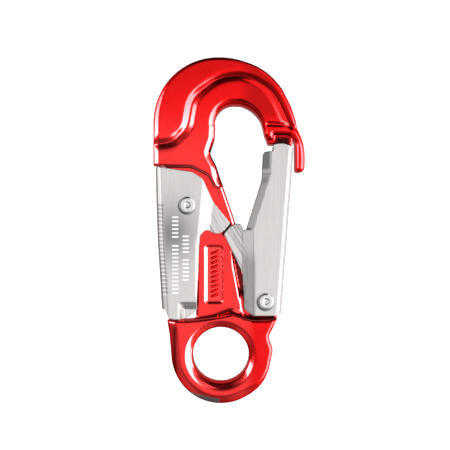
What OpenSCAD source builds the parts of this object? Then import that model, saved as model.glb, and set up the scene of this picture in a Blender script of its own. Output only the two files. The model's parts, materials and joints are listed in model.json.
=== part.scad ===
// Double-action snap hook with a captive eye. Millimetres.
// Origin: centre of the eye bore. +Z towards the hook, +X towards the gate, thickness along Y.
// Outlines are drawn as [x, z] pairs in the plane of the hook and extruded along Y.

/* [Body] */
// Full thickness of the hook and of the eye
body_t = 13; // [12.6:0.1:15]
// Thickness of the thin web between hook and eye
web_t = 4.6; // [3.6:0.1:4.8]
// Thickness of the tongue that the gate's side plates close over
tongue_t = 9.4; // [7:0.1:9.8]
// Radius of the eye bore
eye_r = 9.5; // [8:0.1:10.5]
// Rounding of the eye's rim, on both faces
eye_rim = 2.2; // [1:0.1:2.6]
// Radius of the eye's outside
eye_outer_r = 17; // [16.2:0.1:17.4]
// Depth of the blank panel sunk in each face of the web
panel_depth = 0.5; // [0.2:0.1:0.9]

/* [Sheet metal] */
// Thickness of the stamped gate and lever
sheet_t = 1; // [0.8:0.05:1.1]
// Distance between the inner faces of the two outer side plates
channel_gap = 10.5; // [10.4:0.1:11.5]
// Distance between the inner faces of the two joggled lock plates
lock_gap = 5.3; // [5.2:0.05:5.8]
// How far the gate's long inner lip bends inwards
lip_dip = 1.25; // [0.8:0.05:1.3]

/* [Lock] */
// Clearance between the lock arm and the gate's lug
lock_clearance = 0.5; // [0.4:0.05:0.7]
// Slope of the locking face from horizontal, degrees
lock_slope = 50; // [48:0.5:52]
// Length of the locking face before it is cut back
lock_face = 4.2; // [3.6:0.1:4.4]
// How much the arm's lower end and the lug's upper end are cut back
lock_cutback = 1; // [0.8:0.1:1.4]

/* [Pivots] */
// Radius of both rivet shanks
rivet_r = 2; // [1.6:0.05:2.2]
// Outside radius of both spacer bushes
bush_r = 3; // [2.6:0.05:3.1]
// Radial clearance of rivet in bush and of bush in body
pivot_clearance = 0.05; // [0.02:0.01:0.09]
// Radius of the lever's rivet head
lever_head_r = 2.8; // [2.6:0.1:3.2]
// Radius of the gate's rivet head
gate_head_r = 2.7; // [2.6:0.1:3.2]
// Height of a rivet head
head_h = 1.05; // [0.9:0.05:1.3]
// Rounding of a rivet head's edge
head_edge = 0.75; // [0.3:0.05:0.85]
// Radius of the ball that sinks the dimple in a rivet head
dimple_ball_r = 3.2; // [2:0.1:4]
// Depth of the dimple
dimple_depth = 0.22; // [0.1:0.02:0.4]

/* [Springs] */
// Diameter of the spring wire
wire_d = 0.8; // [0.6:0.05:0.85]
// Mean radius of the spring coils
coil_r = 3.55; // [3.5:0.01:3.6]
// Whole turns of each coil
coil_turns = 2; // [1:1:2]

/* [Hidden] */
$fn = 64;
gate_pivot = [15.2, 18.4];
lever_pivot = [-11.2, 50.7];
eps = 0.01;
plate_in = channel_gap / 2;
plate_out = plate_in + sheet_t;
lock_in = lock_gap / 2;
lock_out = lock_in + sheet_t;
// Sideways run of the sloping sheet between the outer plates and the lock plates
joggle_run = 3.9;
gate_bend_x = 11.2;
gate_inner_x = gate_bend_x - joggle_run;
// The locking face: its middle, its direction and its normal towards the lug
lock_mid = [2.15, 42.8];
lock_dir = [cos(lock_slope), sin(lock_slope)];
lock_norm = [sin(lock_slope), -cos(lock_slope)];
lock_half = lock_face / 2;
arm_low = lock_mid - lock_norm * lock_clearance / 2 - lock_dir * (lock_half - lock_cutback);
arm_high = lock_mid - lock_norm * lock_clearance / 2 + lock_dir * lock_half;
lug_low = lock_mid + lock_norm * lock_clearance / 2 - lock_dir * lock_half;
lug_high = lock_mid + lock_norm * lock_clearance / 2 + lock_dir * (lock_half - lock_cutback);
// Swing radii about the gate's pivot that the hook's nose stays clear of
spine_top_r = 52.4;
tongue_bottom_r = spine_top_r + 0.5;

// Points along an arc, from angle a0 to a1
function arc(c, r, a0, a1, n = 12) =
    [for (i = [0:n]) c + r * [cos(a0 + (a1 - a0) * i / n), sin(a0 + (a1 - a0) * i / n)]];

function unit(v) = v / norm(v);

// One polygon corner p between its neighbours a and b, replaced by an arc of radius r
function corner(a, p, b, r, n) =
    let (
        u = unit(a - p),
        v = unit(b - p),
        half = acos(u * v) / 2,
        c = p + unit(u + v) * r / sin(half),
        s = p + u * r / tan(half) - c,
        e = p + v * r / tan(half) - c,
        a0 = atan2(s[1], s[0]),
        turn = (atan2(e[1], e[0]) - a0 + 540) % 360 - 180
    )
    [for (i = [0:n]) c + r * [cos(a0 + turn * i / n), sin(a0 + turn * i / n)]];

// A polygon from [x, z, corner radius] entries; radius 0 keeps the corner sharp
function rounded(pts, n = 5) =
    let (m = len(pts))
    [for (i = [0:m - 1])
        let (
            a = pts[(i + m - 1) % m],
            p = pts[i],
            b = pts[(i + 1) % m]
        )
        each p[2] > 0
            ? corner([a[0], a[1]], [p[0], p[1]], [b[0], b[1]], p[2], n)
            : [[p[0], p[1]]]];

// An outline in the plane of the hook, extruded from y0 to y1
module slab(y0, y1, pts) {
    translate([0, y1, 0])
        rotate([90, 0, 0])
            linear_extrude(y1 - y0)
                polygon(pts);
}

// A slab centred on the plane of the hook
module mid_slab(t, pts) {
    slab(-t / 2, t / 2, pts);
}

// A round bar or hole along Y through the point p
module y_bar(p, r, y0, y1) {
    translate([p[0], y1, p[1]])
        rotate([90, 0, 0])
            cylinder(r = r, h = y1 - y0);
}

// A solid of revolution about the Y line through p; its profile is [radius, distance from centre]
module turned(p) {
    translate([p[0], 0, p[1]])
        rotate([90, 0, 0])
            rotate_extrude()
                children();
}

// Both a shape and its mirror image in the plane of the hook
module both_sides() {
    children();
    mirror([0, 1, 0])
        children();
}

// ---- Body ----

// The thick hook: outer curve, nose finger, nose underside, inner curve, shank step
hook_outline = concat(
    rounded(concat([[-23.05, 78.9, 0], [-23.05, 64.9, 1.2], [-22.2, 64, 1]],
        [[-9.8, 63.5, 6], [-4.2, 60.6, 3], [-2, 55.9, 1.6], [0.55, 57.7, 0]])),
    rounded([[0.5, 57.9, 0], [-1.5, 64, 3], [-3.7, 68.2, 2.4], [-2.1, 73, 6], [-1.84, 77.2, 0]]),
    arc([4.42, 78.3], 6.24, 188, 84),
    arc([3.77, 74.05], 10.75, 75, 2),
    rounded([[15.1, 73.9, 0], [15.7, 72.75, 0], [17.7, 72.75, 0.5], [17.9, 74.4, 0],
        [23.2, 74.4, 2.2], [25.1, 72, 3], [25.1, 61.8, 1.2], [28.2, 61.8, 1.6], [28.35, 66, 0]]),
    arc([11.3, 67.3], 17, -1, 30),
    arc([-8.1, 70.7], 34.4, 9, 30.7),
    arc([-0.34, 75.4], 25.5, 31, 88),
    arc([-1.05, 78.9], 22, 90, 179)
);

// The thin tongue under the nose, cut to an arc about the gate's pivot
tongue_outline = concat(
    [[24, 78], [14, 78], [15.06, 74.26]],
    [for (x = [16:1:24]) [x, gate_pivot[1] + sqrt(pow(tongue_bottom_r, 2) - pow(x - gate_pivot[0], 2))]],
    [[24.4, 74]]
);

// The web, with a boss around each pivot
web_outline = rounded([[-16, 68, 0], [-6, 68, 0], [-1.2, 61, 0], [0.5, 57.8, 0], [4.45, 46.3, 1],
    [5.4, 42.6, 2], [8.8, 34, 0], [13, 22.6, 2], [17, 22.4, 3], [18.9, 15, 1.5], [17, 8, 0],
    [-14, 8, 0], [-8.5, 11, 0], [-8.5, 43, 3], [-14.8, 46.8, 4], [-16, 54, 2]]);

// The thick eye, below the web
eye_outline = concat(
    arc([0, 0.45], eye_outer_r, 182, 352, 40),
    rounded([[16.9, -1.6, 0], [17.7, 2, 4], [16.1, 6.4, 3], [18.9, 12, 0.8], [16.3, 11, 2], [10.2, 10.4, 2],
        [7.6, 12.2, 2], [3.6, 13.8, 3], [-1.2, 12, 4], [-5, 11.6, 2], [-18.4, 11.8, 0.8],
        [-17.6, 7, 4], [-17, 0, 0]])
);

panel_outline = rounded([[-5.2, 17.7, 0.8], [0.4, 17.7, 0.8], [0.4, 36.8, 0.8], [-5.2, 36.8, 0.8]]);

module eye_bore() {
    h = body_t / 2;
    y_bar([0, 0], eye_r, -body_t, body_t);
    both_sides()
        turned([0, 0])
            difference() {
                translate([0, h - eye_rim])
                    square([eye_r + eye_rim, eye_rim + 1]);
                translate([eye_r + eye_rim, h - eye_rim])
                    circle(eye_rim);
            }
}

module body() {
    color([0.92, 0.09, 0.12])
        difference() {
            union() {
                mid_slab(body_t, hook_outline);
                mid_slab(tongue_t, tongue_outline);
                mid_slab(web_t, web_outline);
                mid_slab(body_t, eye_outline);
            }
            eye_bore();
            for (p = [gate_pivot, lever_pivot])
                y_bar(p, bush_r + pivot_clearance, -body_t, body_t);
            both_sides()
                slab(web_t / 2 - panel_depth, web_t, panel_outline);
        }
}

// ---- Gate ----

gate_plate_outline = rounded([[17.7, 71.1, 0.5], [20.6, 71.7, 6], [24.6, 70.1, 0.8], [20.35, 14.2, 1.2],
    [18.6, 13.5, 1], [gate_bend_x, 13.5, 0], [gate_bend_x, 42.4, 0], [17.3, 61.2, 4]]);
gate_spine_outline = [[24.6, 70], [20.35, 14.2], [20.35 - sheet_t, 14.2], [24.6 - sheet_t, 70]];
// Everything of the side sheet left of the main plate: the joggle and the locking lug
gate_side_outline = rounded([[lug_low[0], lug_low[1], 0.6], [lug_high[0], lug_high[1], 0.6],
    [4.9, 44.6, 1.2], [7.1, 44.2, 0.8], [7.6, 42.3, 0.8], [gate_bend_x + 1, 42.3, 0],
    [gate_bend_x + 1, 13.5, 0], [gate_bend_x - 0.2, 13.5, 0], [8, 15.4, 0.4], [7.8, 20, 0],
    [7.3, 27, 1], [6.6, 29.3, 1]]);

// A sheet sloping from the outer plates down to the lock plates, in the X-Y plane; the bend is at x = 0
module joggle_section(run) {
    polygon([[0, plate_in], [0.6, plate_in], [0.6, plate_out], [0, plate_out],
        [-run, lock_out], [-run - 0.4, lock_out], [-run - 0.4, lock_in], [-run, lock_in]]);
}

// The gate's inner lip along one straight stretch of the plate's edge, from p to q
module lip(p, q, width, low_cut, high_cut) {
    lean = atan2(q[0] - p[0], q[1] - p[1]);
    intersection() {
        translate([p[0], 0, p[1]])
            rotate([0, lean, 0])
                translate([0, 0, -2])
                    linear_extrude(norm(q - p) + 4)
                        polygon([[0.5, plate_in], [0.5, plate_out], [0, plate_out],
                            [-width, plate_out - lip_dip], [-width, plate_in - lip_dip], [0, plate_in]]);
        slab(0, plate_out + 1, [[0, low_cut], [30, low_cut], [30, high_cut], [0, high_cut]]);
    }
}

module gate_side() {
    slab(plate_in, plate_out, gate_plate_outline);
    intersection() {
        translate([gate_bend_x, 0, 10])
            linear_extrude(40)
                joggle_section(joggle_run);
        slab(0, plate_out + 1, gate_side_outline);
    }
    intersection() {
        slab(lock_in, lock_out, gate_side_outline);
        slab(0, plate_out, [[0, 10], [gate_inner_x, 10], [gate_inner_x, 50], [0, 50]]);
    }
    lip([11.45, 42.4], [17.3, 61.2], 2.7, 42.7, 60.9);
    lip([17.3, 60.9], [17.7, 71.1], 2.9, 60.7, 68.8);
}

module gate() {
    color([0.82, 0.8, 0.79])
        difference() {
            union() {
                both_sides()
                    gate_side();
                mid_slab(2 * plate_out, gate_spine_outline);
            }
            y_bar(gate_pivot, rivet_r + pivot_clearance, -body_t, body_t);
        }
}

// ---- Lock lever ----

lever_bend_lean = 6;
lever_bend_foot = [-7.75, 42];
lever_run = 3.7;
press_x = -12.2;
press_z = 17.6;
press_run = 2.2;
lever_plate_outline = rounded([[-22.1, 63.75, 0.8], [-9.6, 61.9, 4], [-6.2, 59.6, 2], [-6, 57.2, 1],
    [-7, 49, 0], [-7.7, 42.4, 0], [-7.3, 36.4, 6], [-7.5, 28.9, 0], [-8.15, press_z, 0],
    [press_x, press_z, 0], [press_x, 12.2, 0.6], [-15.6, 12.2, 1.5], [-17.6, 12.7, 1],
    [-18.7, 15.6, 0], [-19.9, 15.7, 0], [-20.5, 22, 0], [-21.4, 39, 0]]);
lever_spine_outline = [[-22.1, 63.75], [-21.4, 39], [-19.9, 15.7], [-19.9 + sheet_t, 15.7],
    [-21.4 + sheet_t, 39], [-22.1 + sheet_t, 63.6]];
arm_outline = rounded([[-9, 60.5, 0], [-6.3, 59.6, 2], [-5.5, 58.4, 0], [-2.3, 51.4, 8],
    [arm_high[0], arm_high[1], 0.6], [arm_low[0], arm_low[1], 0.6], [-0.4, 41, 1.2],
    [-2.4, 41.2, 1.5], [-5, 42.5, 1.5], [-6.7, 40.6, 1], [-9, 40.4, 0]]);
// The pressed-in corner at the foot of the plate
foot_outline = rounded([[-8.15, press_z + 1, 0], [-8, 15.4, 0.6], [-10.4, 13.2, 1], [-12, 12.9, 0],
    [press_x - 0.8, 12.9, 0], [press_x - 0.8, press_z + 1, 0]]);

// A side sheet of the lever: plate, joggle, lock arm and pressed-in foot
module lever_side() {
    slab(plate_in, plate_out, lever_plate_outline);
    intersection() {
        translate([lever_bend_foot[0], 0, lever_bend_foot[1]])
            rotate([0, lever_bend_lean, 0])
                translate([0, 0, -4])
                    linear_extrude(30)
                        mirror([1, 0])
                            joggle_section(lever_run);
        slab(0, plate_out + 1, arm_outline);
    }
    intersection() {
        slab(lock_in, lock_out, arm_outline);
        slab(0, plate_out, [[-3.95, 40], [5, 40], [5, 60], [-1.9, 60]]);
    }
    intersection() {
        slab(lock_in, lock_out, foot_outline);
        slab(0, plate_out, [[press_x, 12], [-7, 12], [-7, press_z - press_run], [press_x, press_z - press_run]]);
    }
    foot_slope();
}

// The sloping sheet above the pressed-in foot
module foot_slope() {
    intersection() {
        translate([press_x - 1, 0, press_z])
            rotate([90, 0, 90])
                linear_extrude(6)
                    polygon([[plate_in, 0.5], [plate_out, 0.5], [plate_out, 0], [lock_out, -press_run],
                        [lock_out, -press_run - 0.4], [lock_in, -press_run - 0.4], [lock_in, -press_run],
                        [plate_in, 0]]);
        slab(0, plate_out + 1, foot_outline);
    }
}

module lock_lever() {
    color([0.8, 0.78, 0.77])
        difference() {
            union() {
                both_sides()
                    lever_side();
                mid_slab(2 * plate_out, lever_spine_outline);
            }
            y_bar(lever_pivot, rivet_r + pivot_clearance, -body_t, body_t);
        }
}

// ---- Pivots ----

// A rivet with the same head at both ends: flat face, rounded edge and shallow dimple
module rivet(p, head_r) {
    y_bar(p, rivet_r, -plate_out - eps, plate_out + eps);
    both_sides()
        turned(p)
            translate([0, plate_out])
                difference() {
                    union() {
                        square([head_r - head_edge, head_h]);
                        square([head_r, head_h - head_edge]);
                        intersection() {
                            translate([head_r - head_edge, head_h - head_edge])
                                circle(head_edge);
                            square([head_r, head_h]);
                        }
                    }
                    translate([0, head_h + dimple_ball_r - dimple_depth])
                        circle(dimple_ball_r);
                }
}

module gate_rivet() {
    color([0.86, 0.85, 0.84])
        rivet(gate_pivot, gate_head_r);
}

module lever_rivet() {
    color([0.86, 0.85, 0.84])
        rivet(lever_pivot, lever_head_r);
}

// A spacer sleeve that keeps the side plates apart and turns in the body's bore
module bush(p) {
    bush_half = plate_in - 0.05;
    difference() {
        y_bar(p, bush_r, -bush_half, bush_half);
        y_bar(p, rivet_r + pivot_clearance, -body_t, body_t);
    }
}

module gate_bush() {
    color([0.7, 0.68, 0.62])
        bush(gate_pivot);
}

module lever_bush() {
    color([0.7, 0.68, 0.62])
        bush(lever_pivot);
}

// ---- Springs ----

coil_in = web_t / 2 + wire_d / 2 + 0.1;
coil_out = plate_in - wire_d / 2 - 0.15;
steps_per_turn = 14;

// Centre line of a torsion spring on the rear side: a leg, the coil, a leg.
// The coil runs anticlockwise from angle a0 at the web to angle a1 at the side plate.
function spring_path(p, a0, a1, leg_in, leg_out) =
    let (
        n = round((a1 - a0) / 360 * steps_per_turn),
        turn = [for (i = [0:n])
            let (
                a = a0 + (a1 - a0) * i / n,
                y = coil_in + (coil_out - coil_in) * i / n
            )
            [p[0] + coil_r * cos(a), y, p[1] + coil_r * sin(a)]]
    )
    concat(
        [turn[0] - leg_in * [-sin(a0), 0, cos(a0)]],
        turn,
        [turn[n] + leg_out * [-sin(a1), 0, cos(a1)]]
    );

// The part of vector u that is square to the unit vector t
function square_to(u, t) = unit(u - (u * t) * t);

// A wire swept along a path, with each ring carried on from the one before it
module wire(path, r, sides = 6) {
    n = len(path);
    tangent = [for (i = [0:n - 1]) unit(path[min(i + 1, n - 1)] - path[max(i - 1, 0)])];
    across = [for (i = 0, u = square_to([1, 0.3, 0.2], tangent[0]);
        i < n;
        i = i + 1, u = i < n ? square_to(u, tangent[i]) : u) u];
    rings = [for (i = [0:n - 1])
        let (
            u = across[i],
            v = cross(tangent[i], u)
        )
        for (k = [0:sides - 1])
            path[i] + r * (cos(360 * k / sides) * u + sin(360 * k / sides) * v)];
    walls = [for (i = [0:n - 2])
        for (k = [0:sides - 1])
            [i * sides + k, i * sides + (k + 1) % sides, (i + 1) * sides + (k + 1) % sides,
                (i + 1) * sides + k]];
    cap_a = [for (k = [sides - 1:-1:0]) k];
    cap_b = [for (k = [0:sides - 1]) (n - 1) * sides + k];
    polyhedron(rings, concat(walls, [cap_a, cap_b]));
}

gate_spring_path = spring_path(gate_pivot, -97, 360 * coil_turns - 7, 6.4, 11);
lever_coil_path = spring_path(lever_pivot, -7, 360 * coil_turns + 158, 11.4, 13);
// The lever's spring also has a tip bent in over the edge of the web
lever_spring_tip = [lever_coil_path[0][0], 0.3, lever_coil_path[0][2]];
lever_spring_path = concat([lever_spring_tip], lever_coil_path);

module gate_spring_rear() {
    color([0.55, 0.55, 0.57])
        wire(gate_spring_path, wire_d / 2);
}

module gate_spring_front() {
    mirror([0, 1, 0])
        gate_spring_rear();
}

module lever_spring_rear() {
    color([0.55, 0.55, 0.57])
        wire(lever_spring_path, wire_d / 2);
}

module lever_spring_front() {
    mirror([0, 1, 0])
        lever_spring_rear();
}

body();
gate();
lock_lever();
gate_rivet();
lever_rivet();
gate_bush();
lever_bush();
gate_spring_front();
gate_spring_rear();
lever_spring_front();
lever_spring_rear();
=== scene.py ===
"""Double-action snap hook: forged red body, sprung sheet-steel gate and ribbed lock lever.

The forging and the two stampings are built as distance fields in millimetres and meshed
with a surface net, so that fillets, grooves and bends are real geometry. Outlines are
drawn in the plane of the hook as (x, z) points, as in the CAD model.
"""
import json
import math

import bpy
import numpy as np
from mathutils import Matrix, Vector


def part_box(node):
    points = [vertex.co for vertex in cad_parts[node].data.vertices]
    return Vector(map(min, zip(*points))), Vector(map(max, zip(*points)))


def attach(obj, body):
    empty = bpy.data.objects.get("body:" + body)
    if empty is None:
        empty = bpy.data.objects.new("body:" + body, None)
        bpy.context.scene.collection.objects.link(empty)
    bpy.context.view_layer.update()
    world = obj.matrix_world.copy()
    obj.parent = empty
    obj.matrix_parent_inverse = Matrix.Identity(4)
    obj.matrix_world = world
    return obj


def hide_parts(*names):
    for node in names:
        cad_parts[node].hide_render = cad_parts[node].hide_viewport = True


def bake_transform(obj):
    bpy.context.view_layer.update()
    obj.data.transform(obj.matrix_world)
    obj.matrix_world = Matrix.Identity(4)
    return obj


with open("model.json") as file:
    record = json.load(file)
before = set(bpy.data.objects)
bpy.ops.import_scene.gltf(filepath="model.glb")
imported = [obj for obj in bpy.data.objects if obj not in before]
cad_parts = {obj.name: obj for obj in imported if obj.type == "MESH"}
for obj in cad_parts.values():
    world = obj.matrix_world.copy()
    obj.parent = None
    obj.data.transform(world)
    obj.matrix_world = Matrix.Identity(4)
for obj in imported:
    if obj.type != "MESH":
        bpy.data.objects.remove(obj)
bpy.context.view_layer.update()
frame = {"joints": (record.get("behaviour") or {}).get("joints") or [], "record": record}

MM = 0.001
FLOOR_GAP = 0.3 * MM

# ---------------------------------------------------------------- sizes, in millimetres


def joint_pivot(name):
    joint = next(j for j in frame["joints"] if j["name"] == name)
    return np.array([joint["pos_m"][0], joint["pos_m"][2]]) / MM


def box_mm(node):
    low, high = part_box(node)
    return np.array(low) / MM, np.array(high) / MM


GATE_PIVOT = joint_pivot("gate_swing")
LEVER_PIVOT = joint_pivot("lever_squeeze")
HALF_BODY = box_mm("body")[1][1]
PLATE_OUT = box_mm("gate")[1][1]
EYE_R = next(m for m in frame["record"]["mounts"] if m["name"] == "eye")["dims"]["r_mm"]
SHEET = 1.0
# Depth of the middle of a side sheet: at its outer plate, and where the gate and the lever lock
PLATE_MID = PLATE_OUT - SHEET / 2
LOCK_MID = 3.15
JOGGLE = PLATE_MID - LOCK_MID
HALF_WEB = 2.3
HALF_TONGUE = 4.7
PANEL_SUNK = 0.5
BUSH_R = 3.0
RIVET_HOLE_R = 2.05
# Cell sizes of the surface nets: the thin sheets and the forging
FINE = 0.25
COARSE = 0.36
# Brightness of what the metal reflects: the light on the right, then the walls in front, at the
# sides and behind
SIDE_LIGHT = 1.7
FRONT_WALL = 0.70
SIDE_WALL = 0.34
BACK_WALL = 0.42
# Where the strip lights stand, in metres: their distance, and the height of about the hook's middle
WALL_RADIUS = 2.0
MIDDLE_HEIGHT = 0.0438
# Upright strip lights, each for some of the pieces: name, from and to in degrees, foot and top as
# shares of their distance, brightness, and what they light
STRIPS = [
    ("right_front", 18, 84, -0.42, 0.25, 46.0, "body"),
    ("right_back", 97, 116, -0.4, 0.25, 46.0, "body"),
    ("left_high", -116, -44, 0.045, 0.38, 46.0, "body"),
    ("left_lever", -95, -36, -0.3, 0.4, 0.9, "lever"),
    ("left_gate", -84, -54, -0.3, 0.3, 0.45, "gate"),
    ("left_steel", -60, -30, -0.8, 0.3, 0.25, "steel"),
    ("left_body", -58, -32, -0.8, 0.3, 0.12, "body"),
    ("rear_steel", 118, 152, -0.6, 0.3, 0.4, "steel"),
    ("rear_body", 118, 152, -0.6, 0.3, 0.25, "body"),
]

# ---------------------------------------------------------------- plane outlines


def arc(centre, radius, start, end, steps=16):
    angles = np.radians(np.linspace(start, end, steps + 1))
    return [(centre[0] + radius * math.cos(a), centre[1] + radius * math.sin(a)) for a in angles]


def unit(vector):
    return vector / np.linalg.norm(vector)


def corner_arc(before, corner, after, radius, steps):
    """The arc of that radius that rounds a corner between its two neighbours."""
    u, v = unit(before - corner), unit(after - corner)
    half = math.acos(np.clip(u @ v, -1, 1)) / 2
    centre = corner + unit(u + v) * radius / math.sin(half)
    first = corner + u * radius / math.tan(half) - centre
    last = corner + v * radius / math.tan(half) - centre
    start = math.atan2(first[1], first[0])
    turn = (math.atan2(last[1], last[0]) - start + math.pi) % (2 * math.pi) - math.pi
    angles = [start + turn * i / steps for i in range(steps + 1)]
    return [(centre[0] + radius * math.cos(a), centre[1] + radius * math.sin(a)) for a in angles]


def rounded(points, steps=6):
    """Points of an outline given as (x, z) or (x, z, corner radius)."""
    out = []
    for i, point in enumerate(points):
        radius = point[2] if len(point) > 2 else 0
        here = np.array(point[:2], float)
        if radius <= 0:
            out.append(tuple(here))
            continue
        before = np.array(points[i - 1][:2], float)
        after = np.array(points[(i + 1) % len(points)][:2], float)
        out.extend(corner_arc(before, here, after, radius, steps))
    return out


def rounded_path(points, steps=8):
    """As rounded(), for an open path: its two ends stay where they are."""
    middle = []
    for i in range(1, len(points) - 1):
        before, here, after = (np.array(p[:2], float) for p in points[i - 1:i + 2])
        middle.extend(corner_arc(before, here, after, points[i][2], steps))
    return [points[0][:2]] + middle + [points[-1][:2]]


def edge_distance(path, x, z, closed):
    """Distance from points to a polyline, and the crossing parity for a closed one."""
    points = np.array(path, float)
    ends = np.roll(points, -1, axis=0) if closed else points[1:]
    starts = points if closed else points[:-1]
    best = np.full(x.shape, 1e9)
    inside = np.zeros(x.shape, bool)
    for (ax, az), (bx, bz) in zip(starts, ends):
        dx, dz = bx - ax, bz - az
        length2 = dx * dx + dz * dz
        if length2 < 1e-12:
            continue
        px, pz = x - ax, z - az
        t = np.clip((px * dx + pz * dz) / length2, 0, 1)
        best = np.minimum(best, (px - t * dx) ** 2 + (pz - t * dz) ** 2)
        if closed and az != bz:
            crosses = (az > z) != (bz > z)
            inside ^= crosses & (px < dx * pz / dz)
    return np.sqrt(best), inside


def area_distance(path, x, z):
    """Signed distance to a closed outline, negative inside."""
    distance, inside = edge_distance(path, x, z, True)
    return np.where(inside, -distance, distance)


def line_distance(path, x, z):
    return edge_distance(path, x, z, False)[0]


# ---------------------------------------------------------------- joining distance fields


def join(a, b, k):
    """Smooth union, with a fillet of about k."""
    h = np.clip(0.5 + 0.5 * (b - a) / k, 0, 1)
    return b * (1 - h) + a * h - k * h * (1 - h)


def common(a, b, radius):
    """Intersection whose edge is rounded to the radius."""
    p, q = a + radius, b + radius
    return np.minimum(np.maximum(p, q), 0) + np.hypot(np.maximum(p, 0), np.maximum(q, 0)) - radius


def cut(a, b, k):
    """a without b, with the edge softened by k."""
    return -join(-a, b, k)


def ramp(value, low, high):
    """0 below low, 1 above high, smooth between."""
    t = np.clip((value - low) / (high - low), 0, 1)
    return t * t * (3 - 2 * t)


# ---------------------------------------------------------------- surface net


def cell_vertices(values, mask_shape, origin, cell):
    """One vertex for each cell that the surface passes through, at the mean of its crossings."""
    total = np.zeros(mask_shape + (3,))
    count = np.zeros(mask_shape)
    nx, ny, nz = mask_shape
    index = np.indices(mask_shape).astype(float)
    corners = [(i, j, k) for i in (0, 1) for j in (0, 1) for k in (0, 1)]
    for a in corners:
        for axis in range(3):
            if a[axis]:
                continue
            b = tuple(1 if n == axis else a[n] for n in range(3))
            va = values[a[0]:a[0] + nx, a[1]:a[1] + ny, a[2]:a[2] + nz]
            vb = values[b[0]:b[0] + nx, b[1]:b[1] + ny, b[2]:b[2] + nz]
            hit = (va < 0) != (vb < 0)
            share = np.where(hit, va / np.where(hit, va - vb, 1), 0)
            count += hit
            for n in range(3):
                place = index[n] + a[n] + (share if n == axis else 0)
                total[..., n] += np.where(hit, place, 0)
    active = count > 0
    vertices = total[active] / count[active][:, None] * cell + origin
    number = np.full(mask_shape, -1)
    number[active] = np.arange(active.sum())
    return vertices, number


def net_quads(values, number):
    """One quad for each grid edge that crosses the surface."""
    quads = []
    inside = values < 0
    for axis in range(3):
        u, v = (axis + 1) % 3, (axis + 2) % 3
        near = [slice(None)] * 3
        far = [slice(None)] * 3
        near[axis], far[axis] = slice(0, -1), slice(1, None)
        for n in (u, v):
            near[n] = far[n] = slice(1, -1)
        a, b = inside[tuple(near)], inside[tuple(far)]
        where = np.argwhere(a != b)
        flip = a[a != b]
        where[:, u] += 1
        where[:, v] += 1
        ring = []
        for du, dv in ((1, 1), (0, 1), (0, 0), (1, 0)):
            spot = where.copy()
            spot[:, u] -= du
            spot[:, v] -= dv
            ring.append(number[spot[:, 0], spot[:, 1], spot[:, 2]])
        ring = np.stack(ring, 1)
        ring[~flip] = ring[~flip][:, ::-1]
        quads.append(ring)
    return np.concatenate(quads)


def settle(points, plan, field, rounds=3, step=0.01):
    """Moves vertices onto the field's surface and returns them with its normals."""
    for turn in range(rounds + 1):
        x, y, z = points.T
        here = plan(x, z)
        value = field(here, y)
        slope = np.stack([
            field(plan(x + step, z), y) - value,
            field(here, y + step) - value,
            field(plan(x, z + step), y) - value,
        ], 1) / step
        size = np.maximum((slope ** 2).sum(1), 0.05)
        if turn < rounds:
            move = (value / size)[:, None] * slope
            points = points - np.clip(move, -0.2, 0.2)
    return points, slope / np.sqrt(size)[:, None]


def field_mesh(name, low, high, cell, plan, field):
    """Meshes the field inside the box from low to high. plan(x, z) gives what doesn't depend on y."""
    low, high = np.array(low, float), np.array(high, float)
    counts = np.ceil((high - low) / cell).astype(int) + 1
    axes = [low[n] + cell * np.arange(counts[n]) for n in range(3)]
    x, z = np.meshgrid(axes[0], axes[2], indexing="ij")
    flat = plan(x, z)
    layers = [field(flat, np.full(x.shape, y)) for y in axes[1]]
    values = np.stack(layers, 1)
    shape = tuple(counts - 1)
    vertices, number = cell_vertices(values, shape, low, cell)
    quads = net_quads(values, number)
    vertices, normals = settle(vertices, plan, field)
    return solid_object(name, vertices, quads.tolist(), normals)


def paint(thing, name, values):
    """Stores one number for each vertex, for its material to read."""
    layer = thing.data.attributes.new(name, "FLOAT", "POINT")
    layer.data.foreach_set("value", np.asarray(values, float))


def vertex_places(thing):
    """The vertices of an object as x, y, z arrays in millimetres."""
    flat = np.empty(len(thing.data.vertices) * 3)
    thing.data.vertices.foreach_get("co", flat)
    return flat.reshape(-1, 3).T / MM


def solid_object(name, vertices, faces, normals=None):
    """A smooth-shaded mesh object from points in millimetres."""
    mesh = bpy.data.meshes.new(name)
    mesh.from_pydata((np.asarray(vertices) * MM).tolist(), [], faces)
    mesh.validate()
    mesh.polygons.foreach_set("use_smooth", [True] * len(mesh.polygons))
    if normals is not None:
        mesh.normals_split_custom_set_from_vertices(normals.tolist())
    thing = bpy.data.objects.new(name, mesh)
    bpy.context.scene.collection.objects.link(thing)
    return thing


# ---------------------------------------------------------------- the forged body

# Side view of the hook, run on downwards to be cut off along HOOK_FOOT with a tighter rounding
HOOK = (
    rounded([(-23.05, 78.9), (-23.05, 50), (2.9, 50), (0.5, 57.9), (-1.5, 64, 3), (-3.7, 68.2, 2.4),
             (-2.1, 73, 6), (-1.84, 77.2)])
    + arc((4.42, 78.3), 6.45, 186, 84)
    + arc((3.77, 74.05), 11.0, 75, 2)
    + rounded([(15.1, 73.9), (15.7, 72.75), (17.7, 72.75, 0.5), (17.9, 74.4), (23.2, 74.4, 2.2),
               (25.1, 72, 3), (25.1, 61.8, 1.2), (28.2, 61.8, 1.6), (28.35, 66)])
    + arc((11.3, 67.3), 17, -1, 30)
    + arc((-8.1, 70.7), 34.4, 9, 30.7)
    + arc((-0.34, 75.4), 25.5, 31, 88)
    + arc((-1.05, 78.9), 22, 90, 179)
)
HOOK_FOOT = rounded([(-26, 64), (-9.8, 63.6, 6), (-4.2, 60.8, 3), (-1.6, 56.2, 1.4), (4, 58.3),
                     (12, 50), (40, 50), (40, 120), (-26, 120)])
TONGUE_R = 52.9
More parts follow.
